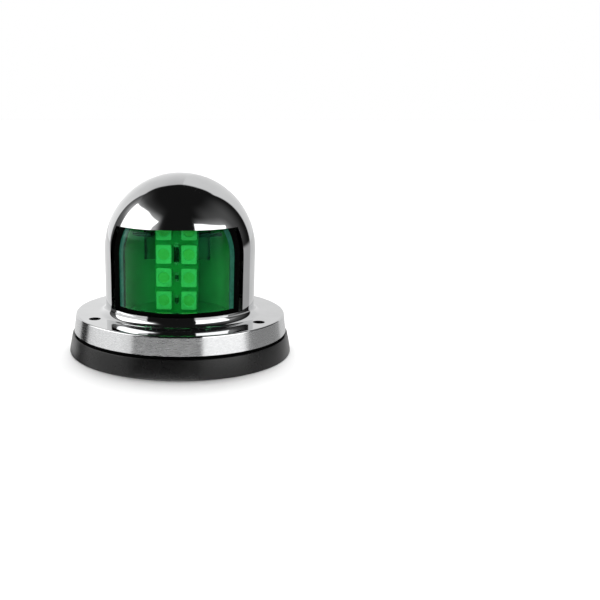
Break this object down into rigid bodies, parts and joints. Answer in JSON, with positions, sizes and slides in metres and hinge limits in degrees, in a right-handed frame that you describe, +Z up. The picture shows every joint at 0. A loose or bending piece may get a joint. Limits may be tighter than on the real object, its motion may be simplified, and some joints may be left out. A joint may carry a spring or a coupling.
{
  "type": "boat navigation light",
  "caption": "Dome-shaped side light for a boat: a polished steel cap with one front window over a green lens and an LED board, on a round black base screwed to the deck.",
  "frame": {"origin": "centre of the base's flat underside, on the axis of the dome", "axes": "+Z up from the deck along the axis of the dome; -Y is the way the window faces and the light shines; +X is to the right of a person looking at the window"},
  "size_m": [0.08, 0.08, 0.0628],
  "materials": {
    "polished_steel": "mirror-polished dome and flange, brushed skirt",
    "base_plastic": "fine-grained matte black",
    "gasket_rubber": "matte black",
    "green_lens": "clear moulded green plastic",
    "screen_plastic": "matte black",
    "reflector_plastic": "satin white",
    "board_lacquer": "glossy solder mask with bare pads",
    "led_package": "white package with a cloudy yellow face",
    "component_black": "satin black moulding",
    "screw_steel": "zinc-plated"
  },
  "bodies": {
    "root": {"mounting_base": "base_plastic", "flange_gasket": "gasket_rubber", "housing": "polished_steel", "module_plate": "reflector_plastic", "lens": "green_lens", "lens_seal": "gasket_rubber", "inner_screen": "screen_plastic", "reflector": "reflector_plastic", "led_board": "board_lacquer", "board_bracket": "screen_plastic", "protection_diode": "component_black", "resistor_1": "component_black", "resistor_2": "component_black", "board_screw_1": "screw_steel", "board_screw_2": "screw_steel", "bracket_screw_1": "screw_steel", "bracket_screw_2": "screw_steel", "plate_screw_1": "screw_steel", "plate_screw_2": "screw_steel", "plate_screw_3": "screw_steel", "cable_grommet": "gasket_rubber", "led_left_1": "led_package", "led_left_2": "led_package", "led_left_3": "led_package", "led_left_4": "led_package", "led_right_1": "led_package", "led_right_2": "led_package", "led_right_3": "led_package", "led_right_4": "led_package"}
  },
  "joints": []
}
